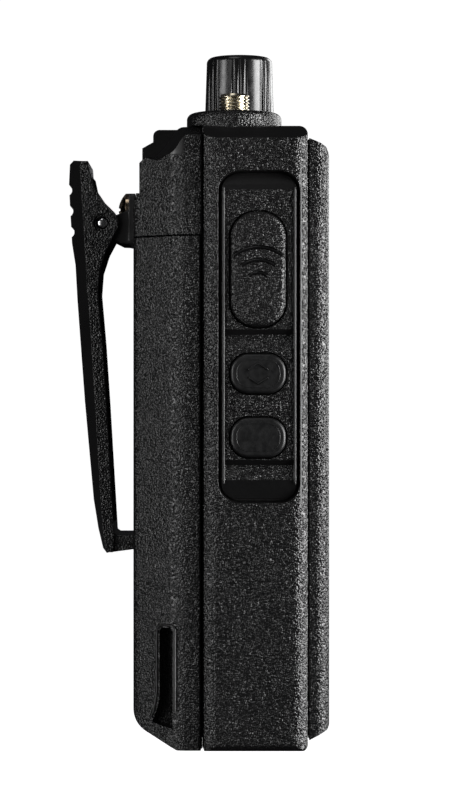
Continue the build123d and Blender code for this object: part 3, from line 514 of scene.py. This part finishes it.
def talk_mark():
    """The talk key with a plain sound-wave mark cut into its face, and a smooth inlay in the cut."""
    key = frame["nodes"]["talk_button"]
    low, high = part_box("talk_button")
    middle = (low + high) / 2
    origin = Vector((low.x, middle.y, middle.z - 3.9 * MM))
    paths = [arc(origin, radius * MM, -38, 38) for radius in (3.2, 5.8, 8.4)]
    paths.append([origin + Vector((0, 0, -0.4 * MM)), origin + Vector((0, 0, 0.4 * MM))])
    sunk = [[on_face(key, point, -0.05 * MM) for point in path] for path in paths]
    mesh = cut_out("marked_talk_key", key, stroke("talk_mark_cutter", sunk, 0.42 * MM))
    finish = own_finishes["talk_button"]
    made = piece("marked_talk_key", mesh, "talk_button", slots["talk_button"], finish)
    mesh.set_sharp_from_angle(angle=math.radians(32))
    inlay = [[on_face(key, point, 0.22 * MM) for point in path] for path in paths]
    piece("talk_mark", stroke("talk_mark", inlay, 0.3 * MM), "talk_button", "knob_plastic")
    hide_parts("talk_button")


def key_outline(node, body):
    """A fine raised line just inside a side key's edge."""
    low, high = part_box(node)
    face_x = low.x + 0.03 * MM
    inset = 1.25 * MM
    half_y = min(high.y - low.y, 11.4 * MM) / 2 - inset
    half_z = 4.1 * MM - inset
    middle = (low + high) / 2
    round_off = half_z * 0.9
    path = []
    for quarter in range(4):
        angle = math.pi / 2 * quarter
        centre_y = (half_y - round_off) * (1 if quarter in (0, 3) else -1)
        centre_z = (half_z - round_off) * (1 if quarter in (0, 1) else -1)
        for step in range(9):
            turn = angle + math.pi / 16 * step
            y = middle.y + centre_y + round_off * math.cos(turn)
            z = middle.z + centre_z + round_off * math.sin(turn)
            path.append(Vector((face_x, y, z)))
    path.append(path[0])
    piece(f"{node}_outline", stroke(f"{node}_outline", [path], 0.09 * MM), body, "key_rubber")


def power_mark():
    """Two chevrons, one pointing up and one down."""
    low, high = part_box("power_button")
    middle = (low + high) / 2
    paths = []
    for side in (-1, 1):
        tip = Vector((low.x - 0.02 * MM, middle.y, middle.z + side * 2.1 * MM))
        wings = [tip + Vector((0, reach * 2.0 * MM, -side * 1.3 * MM)) for reach in (-1, 1)]
        paths.append([wings[0], tip, wings[1]])
    piece("power_mark", stroke("power_mark", paths, 0.22 * MM), "power_button", "key_rubber")


def island_rims():
    """The rounded shoulders down both long sides of the side key panel."""
    low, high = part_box("side_key_panel")
    face_x = low.x + 0.12 * MM
    inset = 0.62 * MM
    profile = [(0.3, 55.0), (0.0, 56.2), (0.0, 114.6), (0.3, 115.8)]  # depth below the face, height
    paths = []
    for y in (low.y + inset, high.y - inset):
        paths.append([(face_x + drop * MM, y, z * MM) for drop, z in profile])
    smooth_case_piece("island_rims", stroke("island_rims", paths, 0.26 * MM), "radio")


def dust_beads():
    """Two short beads that close the housing's gap to the pack at its lower corners."""
    middle_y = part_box("battery_case")[0].y - 0.15 * MM  # halfway across the gap
    side_x = 26 * MM
    heights = (0.2, 0.6, 6.0, 13.0, 13.4)
    paths = [[(x, middle_y, z * MM) for z in heights] for x in (-side_x, side_x)]
    smooth_case_piece("dust_beads", stroke("dust_beads", paths, 0.13 * MM), "radio")


def latch_coil():
    """The latch's spring, a copy of its CAD mesh carried on the battery pack."""
    node = frame["nodes"]["latch_spring"]
    mesh = node.data.copy()
    mesh.transform(node.matrix_world)
    made = piece("latch_coil", mesh, "battery", slots["latch_spring"])
    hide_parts("latch_spring")
    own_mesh(made)


def slot_rims():
    """A raised bead round each charger guide slot, on the pack's bevels."""
    pack_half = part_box("battery_case")[1].x / MM
    bevel_start, bevel_slope = 11.3, 8.0 / 9.1
    front_side = [(11.6, 8.0), (11.6, 24.8)]
    round_top = [(11.9, 25.4), (12.5, 25.7), (13.8, 25.75), (14.6, 25.5), (15.2, 24.9)]
    back_side = [(15.3, 23.0), (15.3, 12.0), (15.5, 10.0), (15.9, 8.0), (16.5, 6.4)]
    paths = []
    for side in (-1, 1):
        path = []
        for y, z in front_side + round_top + back_side:
            x = pack_half - (y - bevel_start) * bevel_slope + 0.02
            path.append((side * x * MM, y * MM, z * MM))
        paths.append(path)
    smooth_case_piece("slot_rims", stroke("slot_rims", paths, 0.3 * MM), "battery")


talk_mark()
power_mark()
island_rims()
slot_rims()
dust_beads()
latch_coil()
key_outline("power_button", "power_button")
key_outline("monitor_button", "monitor_button")


# ---- stage, light and camera ------------------------------------------------------------------------


def stage():
    """A round pale floor that curves up into a wall all round, kept out of the object's reflections.

    It lies low enough for the battery pack to slide out above it.
    """
    radius, bend, height = 5.0, 1.2, 5.0
    floor_z = -115 * MM
    around, bend_steps = 64, 12
    profile = [(0.5, 0.0), (2.0, 0.0)]
    for step in range(bend_steps + 1):
        angle = math.pi / 2 * step / bend_steps
        profile.append((radius - bend + bend * math.sin(angle), bend - bend * math.cos(angle)))
    profile.append((radius, height))
    points = [(0, 0, 0)]
    for reach, z in profile:
        for step in range(around):
            angle = math.tau * step / around
            points.append((reach * math.cos(angle), reach * math.sin(angle), z))
    faces = [(0, 1 + step, 1 + (step + 1) % around) for step in range(around)]
    for ring in range(len(profile) - 1):
        start = 1 + ring * around
        for step in range(around):
            after = (step + 1) % around
            faces.append((start + step, start + around + step, start + around + after, start + after))
    mesh = bpy.data.meshes.new("studio_floor")
    mesh.from_pydata(points, [], faces)
    mesh.materials.append(studio_paper("studio_paper"))
    for face in mesh.polygons:
        face.use_smooth = True
    floor = bpy.data.objects.new("studio_floor", mesh)
    bpy.context.scene.collection.objects.link(floor)
    floor.visible_glossy = False
    floor.visible_diffuse = False
    floor.location.z = floor_z


def softbox(name, place, target, width, height, power):
    """A rectangular area light aimed at a point."""
    data = bpy.data.lights.new(name, "AREA")
    data.shape = "RECTANGLE"
    data.size = width
    data.size_y = height
    data.energy = power
    light = bpy.data.objects.new(name, data)
    light.location = place
    light.rotation_euler = (Vector(target) - Vector(place)).to_track_quat("-Z", "Y").to_euler()
    bpy.context.scene.collection.objects.link(light)


def lights():
    world = bpy.data.worlds.new("studio")
    world.use_nodes = True
    world.node_tree.nodes["Background"].inputs["Color"].default_value = (0.95, 0.95, 1.0, 1)
    world.node_tree.nodes["Background"].inputs["Strength"].default_value = 0.02
    bpy.context.scene.world = world
    middle = (0, 0, 0.07)
    softbox("front_side_softbox", (-0.19, -0.72, 0.12), middle, 0.2, 0.6, 7.5)
    softbox("front_softbox", (-0.37, -0.65, 0.12), middle, 0.2, 0.6, 6.5)
    softbox("back_softbox", (-0.4, 0.62, 0.12), middle, 0.2, 0.6, 2.8)
    softbox("key_side_softbox", (-0.65, 0.37, 0.12), middle, 0.2, 0.6, 0.5)
    softbox("top_softbox", (-0.3, 0.15, 0.75), middle, 0.3, 0.3, 0.5)
    softbox("far_front_softbox", (0.6, -0.4, 0.25), middle, 0.3, 0.5, 2)


def camera():
    """Level with the middle of the side face, square on to the talk key side."""
    data = bpy.data.cameras.new("camera")
    data.lens = 120.7
    data.sensor_width = 36
    data.clip_start = 0.01
    view = bpy.data.objects.new("camera", data)
    view.location = (-0.58, 0.00123, 0.0722)
    view.rotation_euler = (math.pi / 2, 0, -math.pi / 2)
    bpy.context.scene.collection.objects.link(view)
    bpy.context.scene.camera = view


stage()
lights()
camera()
bpy.context.scene.view_settings.view_transform = "Standard"
